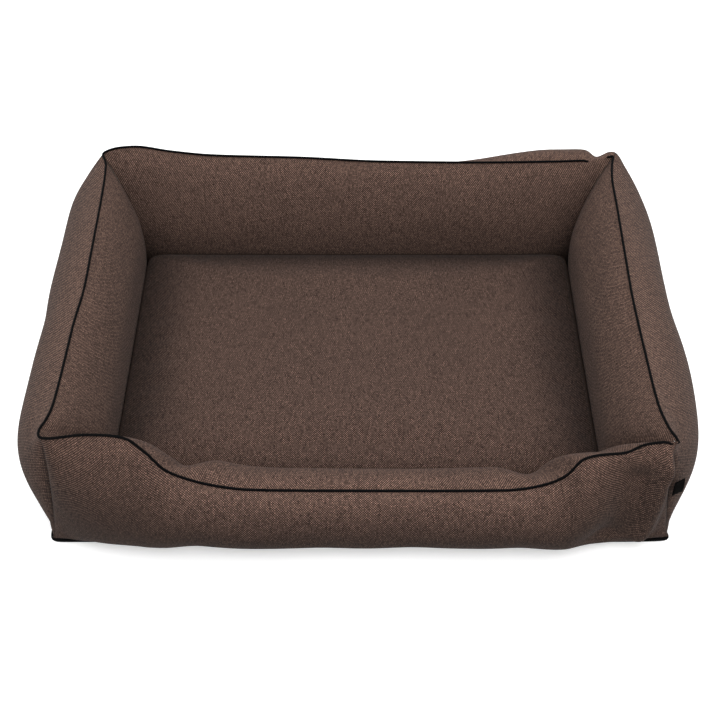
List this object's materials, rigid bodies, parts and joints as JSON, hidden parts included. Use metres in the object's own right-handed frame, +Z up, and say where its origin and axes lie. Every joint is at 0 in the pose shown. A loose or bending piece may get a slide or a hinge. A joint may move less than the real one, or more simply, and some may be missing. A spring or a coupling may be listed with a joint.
{
  "type": "bolster pet bed with loose cushion",
  "caption": "Rectangular pet bed with stuffed, piped walls, a low front entry, a zipped cover and a loose box cushion that lifts out.",
  "frame": {"origin": "middle of the base on the floor", "axes": "+X along the bed's length, to the right as seen from the entry; +Y from the entry to the back wall; +Z up"},
  "size_m": [0.998, 0.7706, 0.227],
  "materials": {
    "upholstery": "two-tone basket weave, dark brown with tan flecks",
    "piping": "black woven piping, slight sheen",
    "base_fabric": "black non-slip fabric with fine dots",
    "lining": "plain brown lining cloth",
    "fibre_fill": "white polyester fibre",
    "support_foam": "open cell foam",
    "topper_foam": "soft open cell foam",
    "label": "plain black woven label",
    "zip_tape": "black herringbone zip tape",
    "zip_teeth": "black moulded teeth",
    "zip_metal": "nickel-plated, lightly worn"
  },
  "bodies": {
    "bed": {"base_panel": "base_fabric", "floor_lining": "lining", "base_piping": "piping", "front_outer_panel": "upholstery", "front_inner_panel": "upholstery", "front_bolster_fill": "fibre_fill", "back_outer_panel": "upholstery", "back_lower_strip": "upholstery", "back_inner_panel": "upholstery", "back_bolster_fill": "fibre_fill", "left_outer_panel": "upholstery", "left_inner_panel": "upholstery", "left_bolster_fill": "fibre_fill", "right_outer_panel": "upholstery", "right_inner_panel": "upholstery", "right_bolster_fill": "fibre_fill", "crest_piping": "piping", "side_label": "label", "cover_zip_tapes": "zip_tape", "cover_zip_teeth": "zip_teeth", "cover_zip_stops": "zip_metal"},
    "cushion": {"cushion_top_panel": "upholstery", "cushion_boxing": "upholstery", "cushion_bottom_panel": "lining", "cushion_piping": "upholstery", "cushion_support_foam": "support_foam", "cushion_topper": "topper_foam", "cushion_zip_tapes": "zip_tape", "cushion_zip_teeth": "zip_teeth", "cushion_zip_stops": "zip_metal"},
    "cushion_slider": {"cushion_zip_slider": "zip_metal"},
    "cover_slider": {"cover_zip_slider": "zip_metal"},
    "cover_pull": {"cover_zip_pull": "zip_metal"}
  },
  "joints": [
    {"name": "cushion_lift", "type": "slide", "parent": "bed", "child": "cushion", "axis": [0, 0, 1], "range_m": [0, 0.3]},
    {"name": "cushion_zip", "type": "slide", "parent": "cushion", "child": "cushion_slider", "axis": [-1, 0, 0], "range_m": [0, 0.506]},
    {"name": "cover_zip", "type": "slide", "parent": "bed", "child": "cover_slider", "axis": [-1, 0, 0], "range_m": [0, 0.586]},
    {"name": "cover_zip_pull_swing", "type": "hinge", "parent": "cover_slider", "child": "cover_pull", "pos_m": [0.293, 0.3649, 0.04443], "axis": [0, 0.4766, 0.8791], "range_deg": [0, 180]}
  ]
}
